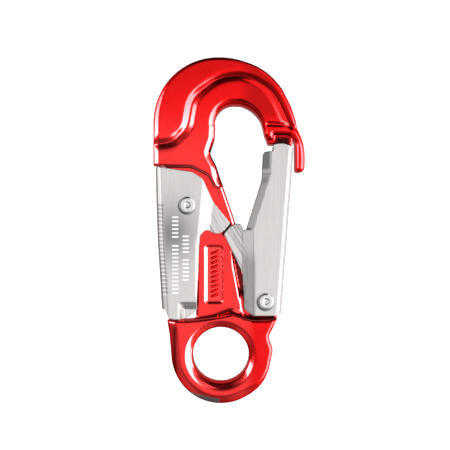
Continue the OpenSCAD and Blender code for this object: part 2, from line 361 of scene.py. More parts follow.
TONGUE = [(24, 78), (14, 78), (15.06, 74.26)] + [
    (x, GATE_PIVOT[1] + math.sqrt(TONGUE_R ** 2 - (x - GATE_PIVOT[0]) ** 2))
    for x in range(16, 25)] + [(24.4, 74)]
WEB = rounded([(-6, 68), (-1.2, 61), (0.5, 57.8), (4.45, 46.3, 1), (5.4, 42.6, 2),
               (8.8, 34), (13, 22.6, 2), (17.5, 22.4, 3), (20, 15, 2), (17, 8), (-14, 8),
               (-8.5, 11), (-8.5, 43, 3), (-14.8, 46.8, 4), (-16, 54, 2), (-18.8, 60, 2), (-19, 68)])
# Outline of the eye, run on upwards to be cut off along EYE_TOP with a tighter rounding
EYE = arc((0, 0.45), 17, 182, 352, 40) + rounded(
    [(16.9, -1.6), (17.7, 2, 4), (16.1, 6.4, 3), (18.9, 12), (20, 22), (-20, 22), (-18.4, 11.8),
     (-17.6, 7, 4), (-17, 0)])
EYE_TOP = rounded([(-30, 12), (-11, 11.9, 4), (-5, 12.5, 6), (-0.8, 13.2, 6), (3.6, 14.1, 3),
                   (7.6, 12.7, 3), (10.6, 11.9, 3), (16, 12.0, 1), (18, 12.4), (30, 12.4),
                   (30, -30), (-30, -30)])
PANEL = rounded([(-5.0, 17.7, 0.8), (0.4, 17.7, 0.8), (0.4, 36.8, 0.8), (-5.0, 36.8, 0.8)])
# Sunk in each face of the web, between its middle and the gate
POCKET = [(1, 40.6), (3.9, 33.6), (6, 22.8), (6.9, 18), (7.6, 13), (9.5, 20), (12, 24), (8, 40)]
CROWN_GROOVE = rounded_path([(-26, 70.7, 0), (-16.5, 71.7, 7), (-11.2, 76.5, 7), (-9.4, 86.7, 9),
                             (-1, 93.4, 14), (8.5, 94.6, 12), (17.8, 89.0, 14), (23.0, 77.6, 0)])
NOSE_GROOVE = rounded_path([(15.8, 77.9, 0), (21.8, 77.6, 4), (24.6, 76.9, 2), (27, 75.6, 0)])


def pocket_ends(z):
    """0 along the middle of the pocket, 1 beyond the ends where it runs out."""
    return np.maximum(ramp(z, 32, 36), 1 - ramp(z, 17.5, 23))


def body_plan(x, z):
    return {
        "hook": area_distance(HOOK, x, z),
        "foot": area_distance(HOOK_FOOT, x, z),
        "narrow": ramp(x, -9.5, -2.5),
        "tail": 1 - ramp(x, -16, -12.5),
        "tongue": area_distance(TONGUE, x, z),
        "web": area_distance(WEB, x, z),
        "eye": area_distance(EYE, x, z),
        "eye_top": area_distance(EYE_TOP, x, z),
        "right": ramp(x, 7, 15),
        "inside": 1 - ramp(np.hypot(x - 4.4, z - 76), 14, 18),
        "high": ramp(z, 84, 92),
        "flare": np.exp(-((x - 4) / 5) ** 2),
        "bore": np.hypot(x, z) - EYE_R,
        "panel": area_distance(PANEL, x, z),
        "pocket": area_distance(POCKET, x, z),
        "pocket_edge": 1.1 - 0.8 * ramp(z, 29, 35),
        "pocket_floor": 0.9 + 1.7 * pocket_ends(z),
        "crown_groove": line_distance(CROWN_GROOVE, x, z),
        "nose_groove": line_distance(NOSE_GROOVE, x, z),
        "pivots": np.minimum(np.hypot(x - GATE_PIVOT[0], z - GATE_PIVOT[1]),
                             np.hypot(x - LEVER_PIVOT[0], z - LEVER_PIVOT[1])) - BUSH_R - 0.06,
    }


def body_field(plan, y):
    depth = np.abs(y)
    slant = np.hypot(y, 0.6) - 0.6
    draft = (0.10 - 0.08 * np.maximum(plan["right"], plan["inside"])) * slant
    rim = 2.2 - 1.0 * plan["high"] * (1 - plan["inside"])
    rim = rim * (1 - plan["right"]) + 1.4 * plan["right"]
    hook = common(plan["hook"] + draft, depth - HALF_BODY, rim)
    hook = common(hook, plan["foot"] + 0.03 * depth, 0.65)
    tongue = common(plan["tongue"], depth - HALF_TONGUE, 0.6)
    web = common(plan["web"] + 0.04 * depth, depth - HALF_WEB, 1.0)
    eye = common(plan["eye"] + draft, depth - HALF_BODY, 3.4 - 2.2 * plan["right"])
    eye = common(eye, plan["eye_top"] + 0.03 * depth, 0.8)
    shape = join(join(hook, web, 0.5), tongue, 0.5)
    shape = join(shape, eye, 1.2 + 1.8 * plan["flare"])
    shape = common(shape, -plan["bore"], 3.0)
    groove_depth = HALF_BODY + 0.1 - depth
    bowl = np.hypot(plan["crown_groove"], groove_depth) - 0.9
    vee = 0.7 * (np.hypot(plan["crown_groove"], 0.3) - 0.3 + groove_depth) - 0.6
    crown = bowl + (vee - bowl) * np.maximum(plan["narrow"], plan["tail"])
    shape = cut(shape, crown, 1.7 - 0.5 * plan["narrow"])
    nose = np.hypot(plan["nose_groove"], groove_depth) - 0.65
    shape = cut(shape, nose, 0.6)
    panel = common(plan["panel"], HALF_WEB - PANEL_SUNK - depth, 0.4)
    shape = cut(shape, panel, 0.8)
    pocket = common(plan["pocket"], plan["pocket_floor"] - depth, 0.2)
    shape = cut(shape, pocket, plan["pocket_edge"])
    return common(shape, -plan["pivots"], 0.2)


def grey_crescent(x, z):
    """A grey crescent on the outer rim under the eye, where the red blends to grey."""
    angle = np.degrees(np.arctan2(z, x)) % 360
    rim = np.hypot(x, z) - 16.0 + 1.9 * ramp(angle, 220, 252)
    return ramp(rim, 0, 0.35) * ramp(angle, 222, 228) * (1 - ramp(angle, 266, 270))


def body_greying_and_painted_light(x, y, z):
    """How far the red turns grey: a grey crescent under the eye, a paler floor in the panel, and painted
    paler light low on the hook.
    """
    panel = 0.12 * (area_distance(PANEL, x, z) < -0.2) * (np.abs(y) < HALF_WEB - 0.3)
    # Painted light: the lower, left part of the hook is painted paler
    painted_paler_low = 0.07 * (1 - ramp(z, 66, 88)) * (1 - ramp(x, 8, 12))
    return np.max([grey_crescent(x, z), panel, painted_paler_low], axis=0)


def body_shade(x, y, z):
    """How far the red is darkened, all by painted shade: behind the lock, along the crown groove, over the
    top of the hook and the right of the eye, and in painted bands that stand in for shadows and dark
    reflections. The grey crescent is darkened too. The bands stay where they are in every view."""
    # Painted shade in the narrow gap behind the lock
    behind_lock = line_distance([LUG_LOW, (3.2, 44.2)], x, z)
    lock_gap_shade = (1 - ramp(behind_lock, 0.5, 0.9)) * (np.abs(y) < HALF_WEB + 0.1)
    # Painted shade in the hollow under the nose
    hollow = 0.97 * ramp(x, 16.8, 19) * (1 - ramp(x, 22.4, 24.6)) * (1 - ramp(z, 72.9, 75.2)) * (z > 60)
    # Painted shade along the crown groove
    groove = line_distance(CROWN_GROOVE, x, z)
    along = np.maximum(ramp(x, -9.5, -5), 0.3 - 0.3 * ramp(x, -15, -12))
    groove_shade = 0.7 * np.exp(-(groove / 1.3) ** 2) * along * (np.abs(y) > 5)
    # Painted shade under the gate and on the flank of the eye
    under_gate = 0.85 * ramp(x, 8, 10) * ramp(z, 11.5, 12.3) * (1 - ramp(z, 13.6, 14.2))
    flank = 0.8 * np.exp(-((x + 15.5) / 0.8) ** 2) * ramp(z, -10, -4) * (1 - ramp(z, 9, 11))
    # Painted shade over the top of the hook and the right of the eye
    top_and_right_shade = 0.22 * np.maximum(ramp(z, 80, 99), ramp(x, 7, 11) * (1 - ramp(z, 8, 13)))
    # Painted shade towards the nose
    nose = 0.45 * ramp(x, 3, 12) * ramp(z, 77, 82) * (1 - ramp(x, 17.5, 20))
    # Painted shade on the pocket's floor and along its edge
    sunk = area_distance(POCKET, x, z)
    floor = 0.85 * (1 - pocket_ends(z)) * (1 - ramp(sunk, -0.6, 0.1))
    pocket = np.maximum(floor, 0.45 * (1 - ramp(sunk, -1.2, 0.8))) * ramp(z, 13.5, 15.5)
    # Painted shade narrowing the highlight on the mouth's left edge, and inside the arch
    inwards = area_distance(HOOK, x, z)
    lip = 0.95 * ramp(inwards, -0.75, -0.45) * ramp(z, 57, 58) * (1 - ramp(z, 69, 72))
    lip = lip * (np.abs(x) < 4)
    arch = 0.75 * np.exp(-((inwards + 1.3) / 0.55) ** 2) * ramp(x, 4, 6.5) * (1 - ramp(x, 13, 15))
    arch = arch * ramp(z, 75, 78) * (1 - ramp(z, 88, 90))
    return np.max([lock_gap_shade, hollow, groove_shade, under_gate, flank, top_and_right_shade, nose, pocket, lip, arch,
                   0.45 * grey_crescent(x, z)], axis=0)


def make_body():
    low, high = box_mm("body")
    body = field_mesh("forged_body", low - 1.0, high + 1.0, COARSE, body_plan, body_field)
    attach(body, "frame")
    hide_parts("body")
    x, y, z = vertex_places(body)
    # Grey crescent, paler panel floor, and painted paler light low on the hook
    paint(body, "greying_and_painted_light", body_greying_and_painted_light(x, y, z))
    # Painted shade and painted dark reflections
    paint(body, "shade", body_shade(x, y, z))
    body.data.materials.append(red_anodised())
    # Its side highlights are far brighter than white: kept out of the steel and off the floor
    body.visible_glossy = False
    body.visible_diffuse = False
    return body


# ---------------------------------------------------------------- folded sheets

# Rounding of the stamped edges, of the folds along the two spines, and of the rims of rivet holes
SHEET_EDGE = 0.18
GATE_FOLD = 2.0
LEVER_FOLD = 2.6
HOLE_EDGE = 0.1


def bend(value, low, high, soft=0.12):
    """0 below low, 1 above high, straight between, with the two bends eased."""
    t = (value - low) / (high - low)
    return ease(t, soft) - ease(t - 1, soft)


def ease(t, soft):
    """max(t, 0) with a parabola for a corner."""
    return np.where(t < -soft, 0, np.where(t > soft, t, (t + soft) ** 2 / (4 * soft)))


def folded(outline, spine, plate, depth, spine_radius):
    """A channel of sheet steel: a spine with a rounded fold, and side plates at a varying depth.

    outline is the distance to the side view, spine the distance inwards from the spine's face,
    plate what with_slope() gives for the side sheet, and depth the distance from the hook's plane."""
    side = (depth - plate["depth"]) * plate["cosine"] - SHEET / 2
    outer = common(-spine, side, spine_radius)
    wall = np.abs(outer + SHEET / 2) - SHEET / 2
    return common(wall, outline, SHEET_EDGE)


def with_slope(depth_at, x, z, step=0.02):
    """A side sheet's depth, with the cosine of its slope, which keeps its thickness true."""
    here = depth_at(x, z)
    dx = (depth_at(x + step, z) - here) / step
    dz = (depth_at(x, z + step) - here) / step
    return {"depth": here, "cosine": 1 / np.sqrt(1 + dx ** 2 + dz ** 2)}


# ---------------------------------------------------------------- the gate

LOCK_SLOPE = math.radians(50)
LOCK_MIDDLE = np.array([2.15, 42.8])
LOCK_DIR = np.array([math.cos(LOCK_SLOPE), math.sin(LOCK_SLOPE)])
LOCK_NORMAL = np.array([math.sin(LOCK_SLOPE), -math.cos(LOCK_SLOPE)])
LOCK_GAP = 0.5
LOCK_FACE = 4.2
LOCK_CUTBACK = 1.0


def lock_corner(side, along):
    """A corner of the locking face: side -1 is the arm, 1 the lug."""
    return tuple(LOCK_MIDDLE + side * LOCK_NORMAL * LOCK_GAP / 2 + LOCK_DIR * along)


LUG_LOW = lock_corner(1, -LOCK_FACE / 2)
LUG_HIGH = lock_corner(1, LOCK_FACE / 2 - LOCK_CUTBACK)
ARM_LOW = lock_corner(-1, LOCK_CUTBACK - LOCK_FACE / 2)
ARM_HIGH = lock_corner(-1, LOCK_FACE / 2)
# The joggle of the gate's lower end runs from the inner to the outer of these
GATE_INNER = 7.3
GATE_BEND = 11.2
SPINE_TOP = (24.6, 70.1)
SPINE_FOOT = (20.35, 14.2)
GATE = rounded([
    (17.7, 71.1, 0.5), (20.6, 71.7, 6), SPINE_TOP + (0.8,), SPINE_FOOT + (1.2,), (18.6, 13.5, 1),
    (11, 13.5, 0.4), (8, 15.4, 0.4), (7.8, 20), (7.3, 27, 1), (6.6, 29.3, 1), LUG_LOW + (0.6,),
    LUG_HIGH + (0.6,), (4.9, 44.6, 1.2), (7.1, 44.2, 0.8), (7.6, 42.3, 0.3), (8.7, 42.35),
    (8.75, 42.7, 0.2), (14.0, 59.5, 3), (14.45, 68.6, 0.5), (17.6, 69, 0.3)])
# Where the inner lip leaves the plate, from the lock up to the top
LIP_EDGE = [(10.84, 41.8), (16.95, 61.2), (17.35, 73)]


def gate_depth(x, z):
    """Middle of the gate's side sheet: outer plate, joggle down to the lock level, inner lip."""
    joggle = JOGGLE * (1 - bend(x, GATE_INNER, GATE_BEND))
    edge = np.interp(z, [p[1] for p in LIP_EDGE], [p[0] for p in LIP_EDGE])
    lip = 1.25 * np.clip((edge - x) / 2.8, 0, 1.2)
    above = ramp(z, 42.2, 42.7) * ramp(x, 7.7, 8.5)
    return PLATE_MID - joggle * (1 - above) - lip * above * ramp(z, 42, 43)


def line_side(x, z, start, end):
    """Distance to the left of the line from start to end."""
    run = unit(np.array(end) - np.array(start))
    return run[0] * (z - start[1]) - run[1] * (x - start[0])


def gate_plan(x, z):
    return {
        "outline": area_distance(GATE, x, z),
        "spine": line_side(x, z, SPINE_FOOT, SPINE_TOP),
        "plate": with_slope(gate_depth, x, z),
        "hole": np.hypot(x - GATE_PIVOT[0], z - GATE_PIVOT[1]) - RIVET_HOLE_R,
    }


def gate_field(plan, y):
    shape = folded(plan["outline"], plan["spine"], plan["plate"], np.abs(y), GATE_FOLD)
    return common(shape, -plan["hole"], HOLE_EDGE)


def rivet_shadow(pivot, x, z):
    """Dark crescent on a plate, to the lower left of a rivet head."""
    ring = np.hypot(x - pivot[0] + 0.2, z - pivot[1] + 0.2) - 2.75
    side = 0.6 - 0.4 * (x - pivot[0] + z - pivot[1]) / (np.hypot(x - pivot[0], z - pivot[1]) + 0.01)
    return 0.95 * np.exp(-(ring / 0.4) ** 2) * side


def make_gate():
    low, high = box_mm("gate")
    gate = field_mesh("stamped_gate", low - 0.7, high + 0.7, FINE, gate_plan, gate_field)
    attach(gate, "gate")
    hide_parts("gate")
    x, y, z = vertex_places(gate)
    # Painted shade: bands on the inner lip that stand in for dark reflections, and a darker lower joggle
    lip = np.clip((PLATE_MID - gate_depth(x, z)) / 0.8, 0, 1) * ramp(z, 42.2, 42.8)
    joggle_shade = ramp(x, GATE_INNER - 0.5, GATE_INNER + 0.5) * (1 - ramp(x, GATE_BEND, GATE_BEND + 1))
    joggle_shade = 0.4 * joggle_shade * (1 - ramp(z, 30, 38))
    tone = 0.08 + 0.56 * ramp(z, 62.3, 63.3) + 0.32 * np.exp(-((z - 59) / 1.3) ** 2)
    shade = np.maximum(tone * ramp(lip, 0.15, 0.6), joggle_shade)
    paint(gate, "shade", np.maximum(shade, rivet_shadow(GATE_PIVOT, x, z)))
    paint(gate, "scored", 0.7 * (1 - ramp(x, GATE_INNER, GATE_INNER + 3)) * (1 - ramp(z, 44.4, 45)))
    gate.data.materials.append(brushed_steel("gate_steel", (0.70, 0.67, 0.66)))
    return gate


# ---------------------------------------------------------------- the lock lever

LEVER = rounded([
    (-22.1, 63.75, 0.8), (-9.6, 61.9, 4), (-6.2, 59.6, 1.6), (-5.5, 58.4), (-2.3, 51.4, 8),
    ARM_HIGH + (0.6,), ARM_LOW + (0.6,), (-0.4, 41, 1.2), (-2.4, 41.2, 1.5), (-5, 42.5, 1.5),
    (-6.9, 40.4, 2), (-7.3, 36.4), (-7.5, 28.9), (-8.1, 17.6), (-8, 15.4, 0.6), (-10.4, 13.2, 1),
    (-12.2, 12.4, 0.5), (-15.6, 12.2, 1.5), (-17.6, 12.7, 1), (-18.7, 15.6, 0.3), (-19.9, 15.7, 0.3),
    (-20.5, 22), (-21.4, 39), (-21.8, 51)])
LEVER_SPINE = [(-19.0, 2), (-19.9, 15.7), (-21.4, 39), (-21.8, 51), (-22.1, 63.75), (-22.4, 76)]
RIB_LOW = 20.7
RIB_PITCH = 1.33
RIB_COUNT = 23
RIB_DEPTH = 0.07


def past_fold(x, z):
    """Distance past the fold where the lever's side steps in to its arm."""
    return x + 7.75 - (z - 42) * math.tan(math.radians(6))


def lever_depth(x, z):
    """Middle of the lever's side sheet: plate, joggle to the arm, pressed-in foot corner, and a
    front edge turned in a little."""
    arm = bend(past_fold(x, z), 0, 3.7) * ramp(z, 38.0, 40.0)
    foot = bend(x, -14.3, -12.7, 0.3) * (1 - bend(z, 16.0, 18.0, 0.3))
    edge = 0.16 * bend(x, -8.7, -7.4, 0.3) * (1 - ramp(z, 37, 41)) * ramp(z, 17, 21)
    return PLATE_MID - JOGGLE * (np.maximum(arm, foot) + edge)


def lever_plan(x, z):
    spine_x = np.interp(z, [p[1] for p in LEVER_SPINE], [p[0] for p in LEVER_SPINE])
    phase = (z - RIB_LOW) / RIB_PITCH
    ribbed = ramp(phase, -0.5, 0) * (1 - ramp(phase, RIB_COUNT, RIB_COUNT + 0.5))
    return {
        "outline": area_distance(LEVER, x, z),
        "spine": x - spine_x,
        "plate": with_slope(lever_depth, x, z),
        "hole": np.hypot(x - LEVER_PIVOT[0], z - LEVER_PIVOT[1]) - RIVET_HOLE_R,
        "rib": ribbed * (0.5 - 0.5 * np.cos(2 * math.pi * phase)) * (1 - ramp(x - spine_x, 2.2, 3.0)),
    }


def lever_field(plan, y):
    depth = np.abs(y)
    side = (depth - plan["plate"]["depth"]) * plan["plate"]["cosine"] - SHEET / 2
    outer = common(-plan["spine"], side, LEVER_FOLD)
    wall = np.maximum(outer + RIB_DEPTH * plan["rib"], -outer - SHEET)
    shape = common(wall, plan["outline"], SHEET_EDGE)
    return common(shape, -plan["hole"], HOLE_EDGE)


def make_lever():
    low, high = box_mm("lock_lever")
    lever = field_mesh("stamped_lever", low - 0.7, high + 0.7, FINE, lever_plan, lever_field)
    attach(lever, "lever")
    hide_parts("lock_lever")
    x, y, z = vertex_places(lever)
    plan = lever_plan(x, z)
    plate = ramp(plan["spine"], 1.5, 3.0)
    # Painted shade: a soft dark patch on the plate that stands in for a dark reflection
    plate_shade = 0.66 * np.exp(-((x + 16.6) / 8) ** 2 - ((z - 41) / 9.5) ** 2) * plate
    # Painted shade on the spine below the ribs and in the rib grooves
    foot = 0.4 * (1 - plate) * (1 - ramp(z, 20.2, 20.8))
    shade = np.maximum(np.maximum(plate_shade, foot), 0.5 * plan["rib"])
    paint(lever, "shade", np.maximum(shade, rivet_shadow(LEVER_PIVOT, x, z)))
    paint(lever, "scored", 0.7 * ramp(past_fold(x, z), 2.6, 4.5) * (1 - ramp(z, 48, 52)))
    lever.data.materials.append(brushed_steel("lever_steel", (0.69, 0.66, 0.65)))
    return lever


# ---------------------------------------------------------------- plain bars in place of lettering

LEVER_BAR = (2.2, 0.5)
LEVER_BAR_PITCH = 1.32
# Columns of bars on the lever: middle x, then a run of z from top to bottom
LEVER_COLUMNS = [(-15.3, (46.6, 39.6)), (-15.3, (37.0, 21.0)), (-11.8, (40.2, 34.6)),
                 (-11.8, (32.2, 24.8))]
PANEL_BAR = (3.3, 0.75)
PANEL_BAR_TURN = 20
PANEL_MIDDLE = -1.9
PANEL_RUN = np.arange(20.2, 35, 1.62)


def bar_rings(place, size, turn, profile, side):
    """A stadium-shaped bar on a face, as rings of points going outwards."""
    half = (size[0] - size[1]) / 2
    c, s = math.cos(math.radians(turn)), math.sin(math.radians(turn))
    rings = []
    for grow, level in profile:
        radius = size[1] / 2 + grow
        ring = arc((half, 0), radius, -90, 90, 6) + arc((-half, 0), radius, 90, 270, 6)
        rings.append([(place[0] + c * u - s * v, side * level, place[1] + s * u + c * v) for u, v in ring])
    return rings


def make_bars(name, body, places, size, turn, profile, material):
    """Bars on both sides of the part."""
    vertices, faces = [], []
    for side in (-1, 1):
        for place in places:
            rings = bar_rings(place, size, turn, profile, side)
            count = len(rings[0])
            first = len(vertices)
            for ring in rings:
                vertices.extend(ring)
            for level in range(len(rings) - 1):
                a = first + level * count
                for i in range(count):
                    j = (i + 1) % count
                    quad = (a + i, a + j, a + count + j, a + count + i)
                    faces.append(quad if side < 0 else quad[::-1])
            cap = tuple(range(first + count * (len(rings) - 1), first + count * len(rings)))
            faces.append(cap if side < 0 else cap[::-1])
    bars = solid_object(name, vertices, faces)
    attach(bars, body)
    bars.data.materials.append(material)
    return bars


def make_markings(red):
    lever_bars = [(x, z) for x, (top, foot) in LEVER_COLUMNS
                  for z in np.arange(top, foot, -LEVER_BAR_PITCH)]
    etched = [(0.03, PLATE_OUT - 0.02), (0.03, PLATE_OUT + 0.02), (0, PLATE_OUT + 0.04),
              (-0.06, PLATE_OUT + 0.05)]
    make_bars("lever_marking", "lever", lever_bars, LEVER_BAR, 0, etched, marking_paint())
    floor = HALF_WEB - PANEL_SUNK
    forged = [(0.1, floor - 0.1), (0.1, floor + 0.02), (0.02, floor + 0.14), (-0.12, floor + 0.25),
              (-0.28, floor + 0.3)]
    panel_bars = [(PANEL_MIDDLE, z) for z in PANEL_RUN]
    return make_bars("panel_marking", "frame", panel_bars, PANEL_BAR, PANEL_BAR_TURN, forged, red)


# ---------------------------------------------------------------- torsion springs

WIRE_R = 0.4
COIL_R = 3.55
COIL_IN, COIL_OUT = 2.8, 4.7


def spring_path(pivot, start, end, leg_in, leg_out, tip=None):
    """Centre line on the rear side: a leg held by the body, the coil, a leg on the moving part."""
    steps = int(round((end - start) / 360 * 48))
    turn = np.linspace(start, end, steps + 1)
    angle = np.radians(turn)
    coil = np.stack([pivot[0] + COIL_R * np.cos(angle),
                     COIL_IN + (COIL_OUT - COIL_IN) * (turn - start) / (end - start),
                     pivot[1] + COIL_R * np.sin(angle)], 1)
    first, last = angle[0], angle[-1]
    leg = coil[0] - leg_in * np.array([-math.sin(first), 0, math.cos(first)])
    path = [leg, *coil, coil[-1] + leg_out * np.array([-math.sin(last), 0, math.cos(last)])]
    if tip is not None:
        path.insert(0, np.array([leg[0], tip, leg[2]]))
    return np.array(path)


def make_spring(node, path):
    """Round wire along the path with domed ends, held by the body at its inner end."""
    side = 1 if node.endswith("rear") else -1
    path = path * np.array([1, side, 1])
    tangents = np.gradient(path, axis=0)
    tangents /= np.linalg.norm(tangents, axis=1)[:, None]
    across = np.cross(tangents[0], (0.3, 0.2, 1.0))
    sides = 12
    turn = np.linspace(0, 2 * math.pi, sides, endpoint=False)
    rings = []

    def ring(centre, tangent, across, radius):
        u = unit(across - (across @ tangent) * tangent)
        v = np.cross(tangent, u)
        rings.append([centre + radius * (math.cos(t) * u + math.sin(t) * v) for t in turn])
        return u

    for t in (80, 50, 20):
        lift, radius = math.sin(math.radians(t)), math.cos(math.radians(t))
        ring(path[0] - tangents[0] * WIRE_R * lift, tangents[0], across, WIRE_R * radius)
    for centre, tangent in zip(path, tangents):
        across = ring(centre, tangent, across, WIRE_R)
    for t in (20, 50, 80):
        lift, radius = math.sin(math.radians(t)), math.cos(math.radians(t))
        ring(path[-1] + tangents[-1] * WIRE_R * lift, tangents[-1], across, WIRE_R * radius)
    vertices = np.array(rings).reshape(-1, 3)
    faces = []
    for level in range(len(rings) - 1):
        for i in range(sides):
            j = (i + 1) % sides
            a, b = level * sides, (level + 1) * sides
            faces.append((a + i, a + j, b + j, b + i))
    last = (len(rings) - 1) * sides
    faces.append(tuple(range(sides))[::-1])
    faces.append(tuple(range(last, last + sides)))
    spring = solid_object(node + "_wire", vertices, faces)
    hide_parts(node)
    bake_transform(spring)
    return spring


def make_springs():
    wire = plain_steel("spring_steel", (0.45, 0.44, 0.43), 0.3, (700, 700, 700))
    gate_path = spring_path(GATE_PIVOT, -97, 713, 6.4, 11)
    lever_path = spring_path(LEVER_PIVOT, -7, 878, 11.4, 13, tip=0.3)
    for end in ("front", "rear"):
        for spring in (make_spring("gate_spring_" + end, gate_path),
                       make_spring("lever_spring_" + end, lever_path)):
            spring.data.materials.append(wire)


# ---------------------------------------------------------------- materials


def new_material(name):
    material = bpy.data.materials.new(name)
    material.use_nodes = True
    tree = material.node_tree
    shader = tree.nodes["Principled BSDF"]
    return material, tree, shader


def noise(tree, scale, detail, roughness=0.6, stretch=(1, 1, 1), turn=0):
    """Noise in the object's own coordinates. stretch holds the factors that make it finer along
    each axis, and turn is an angle about the Y axis."""
    where = tree.nodes.new("ShaderNodeTexCoord")
    mapping = tree.nodes.new("ShaderNodeMapping")
    mapping.vector_type = "TEXTURE"
    mapping.inputs["Rotation"].default_value = (0, turn, 0)
    mapping.inputs["Scale"].default_value = [1 / s for s in stretch]
    texture = tree.nodes.new("ShaderNodeTexNoise")
    texture.inputs["Scale"].default_value = scale
    texture.inputs["Detail"].default_value = detail
    texture.inputs["Roughness"].default_value = roughness
    tree.links.new(where.outputs["Object"], mapping.inputs["Vector"])
    tree.links.new(mapping.outputs["Vector"], texture.inputs["Vector"])
    return texture.outputs["Fac"]


def spread(tree, factor, low, high, start=0.3, end=0.7):
    """Maps a noise factor to the range low to high."""
    node = tree.nodes.new("ShaderNodeMapRange")
    node.inputs["From Min"].default_value = start
    node.inputs["From Max"].default_value = end
    node.inputs["To Min"].default_value = low
    node.inputs["To Max"].default_value = high
    tree.links.new(factor, node.inputs["Value"])
    return node.outputs["Result"]


def colours(tree, factor, stops):
    """A colour ramp from (position, colour) stops."""
    node = tree.nodes.new("ShaderNodeValToRGB")
    elements = node.color_ramp.elements
    while len(elements) < len(stops):
        elements.new(0.5)
    for element, (position, colour) in zip(elements, stops):
        element.position = position
        element.color = tuple(colour) + (1,)
    tree.links.new(factor, node.inputs["Fac"])
    return node.outputs["Color"]


def bump(tree, height, strength, distance):
    node = tree.nodes.new("ShaderNodeBump")
    node.inputs["Strength"].default_value = strength
    node.inputs["Distance"].default_value = distance
    tree.links.new(height, node.inputs["Height"])
    return node.outputs["Normal"]


def attribute(tree, name):
    """What paint() stored under that name."""
    node = tree.nodes.new("ShaderNodeAttribute")
    node.attribute_name = name
    return node.outputs["Fac"]


def red_anodised():
    """Tumbled forging with a glossy red anodic coat, a little uneven in depth of colour."""
    material, tree, shader = new_material("red_anodised")
    shader.inputs["Metallic"].default_value = 1.0
    shader.inputs["Specular Tint"].default_value = (1.0, 0.12, 0.12, 1.0)
    cloud = noise(tree, 90, 4)
    colour = colours(tree, cloud, [(0.3, (0.87, 0.008, 0.009)), (0.7, (0.98, 0.012, 0.013))])
    # Grey crescent, paler panel floor and painted paler light low on the hook
    greying_and_painted_light = attribute(tree, "greying_and_painted_light")
    colour = blended(tree, greying_and_painted_light, colour, 0.42)
    # Painted shade and painted dark reflections darken the red
    shade = attribute(tree, "shade")
    tree.links.new(blended(tree, shade, colour, 0.004), shader.inputs["Base Color"])
    grain = noise(tree, 1400, 3)
    tree.links.new(spread(tree, grain, 0.16, 0.19), shader.inputs["Roughness"])
    tree.links.new(bump(tree, noise(tree, 120, 2), 0.1, 0.0001), shader.inputs["Normal"])
    return material


def brushed_steel(name, tone):
    """Satin stamped steel: fine upright brush lines, faint clouds, slanting scores, and painted shade."""
    material, tree, shader = new_material(name)
    shader.inputs["Metallic"].default_value = 1.0
    brush = noise(tree, 1, 5, 0.6, (2600, 2600, 90))
    cloud = noise(tree, 90, 4)
    mix = math_node(tree, "ADD", math_node(tree, "MULTIPLY", spread(tree, brush, 0, 1), 0.5),
                    math_node(tree, "MULTIPLY", cloud, 0.5))
    dark = tuple(0.93 * c for c in tone)
    light = tuple(min(1.0, 1.05 * c) for c in tone)
    plain = colours(tree, mix, [(0.25, dark), (0.75, light)])
    scored = noise(tree, 1, 4, 0.6, (1500, 1500, 70), math.radians(-32))
    scores = colours(tree, scored, [(0.36, tuple(0.45 * c for c in tone)), (0.55, light)])
    plain = blended(tree, attribute(tree, "scored"), plain, scores)
    # The shade attribute darkens the steel with painted shade and painted shadow
    tree.links.new(blended(tree, attribute(tree, "shade"), plain, 0.06), shader.inputs["Base Color"])
    tree.links.new(spread(tree, brush, 0.15, 0.22), shader.inputs["Roughness"])
    tree.links.new(bump(tree, brush, 0.06, 0.00002), shader.inputs["Normal"])
    return material


def plain_steel(name, tone, roughness, turned):
    """Small parts in turned or drawn steel, with fine marks."""
    material, tree, shader = new_material(name)
    shader.inputs["Metallic"].default_value = 1.0
    marks = noise(tree, 1, 4, 0.6, turned)
    dark = tuple(0.85 * c for c in tone)
    tree.links.new(colours(tree, marks, [(0.3, dark), (0.7, tone)]), shader.inputs["Base Color"])
    tree.links.new(spread(tree, marks, roughness * 0.8, roughness * 1.2), shader.inputs["Roughness"])
    tree.links.new(bump(tree, marks, 0.1, 0.00002), shader.inputs["Normal"])
    return material


def marking_paint():
    """Pale etched marking, a little rough."""
    material, tree, shader = new_material("marking")
    shader.inputs["Metallic"].default_value = 0.3
    grain = noise(tree, 2500, 3)
    tree.links.new(colours(tree, grain, [(0.3, (0.80, 0.79, 0.78)), (0.7, (0.95, 0.94, 0.93))]),
                   shader.inputs["Base Color"])
    tree.links.new(spread(tree, grain, 0.45, 0.65), shader.inputs["Roughness"])
    return material


def finish_cad_nodes():
    """Rivets and bushes keep their CAD shapes and get their own materials."""
    rivet = plain_steel("rivet_steel", (0.80, 0.79, 0.78), 0.16, (900, 200, 900))
    bush = plain_steel("bush_steel", (0.62, 0.60, 0.55), 0.25, (300, 3000, 300))
    for node, material in (("gate_rivet", rivet), ("lever_rivet", rivet),
                           ("gate_bush", bush), ("lever_bush", bush)):
        thing = bpy.data.objects[node]
        thing.data.materials.clear()
        thing.data.materials.append(material)


# ---------------------------------------------------------------- stage


def make_floor(level):
    size = 1.6
    mesh = bpy.data.meshes.new("floor")
    corners = [(-size, -size, level), (size, -size, level), (size, size, level), (-size, size, level)]
    mesh.from_pydata(corners, [], [(0, 1, 2, 3)])
    floor = bpy.data.objects.new("floor", mesh)
    bpy.context.scene.collection.objects.link(floor)
    material, tree, shader = new_material("pale_floor")
    shader.inputs["Base Color"].default_value = (0.9, 0.9, 0.9, 1)
    shader.inputs["Roughness"].default_value = 0.9
    shader.inputs["Emission Color"].default_value = (1, 1, 1, 1)
    shader.inputs["Emission Strength"].default_value = 0.3
    floor.data.materials.append(material)
    floor.visible_glossy = False


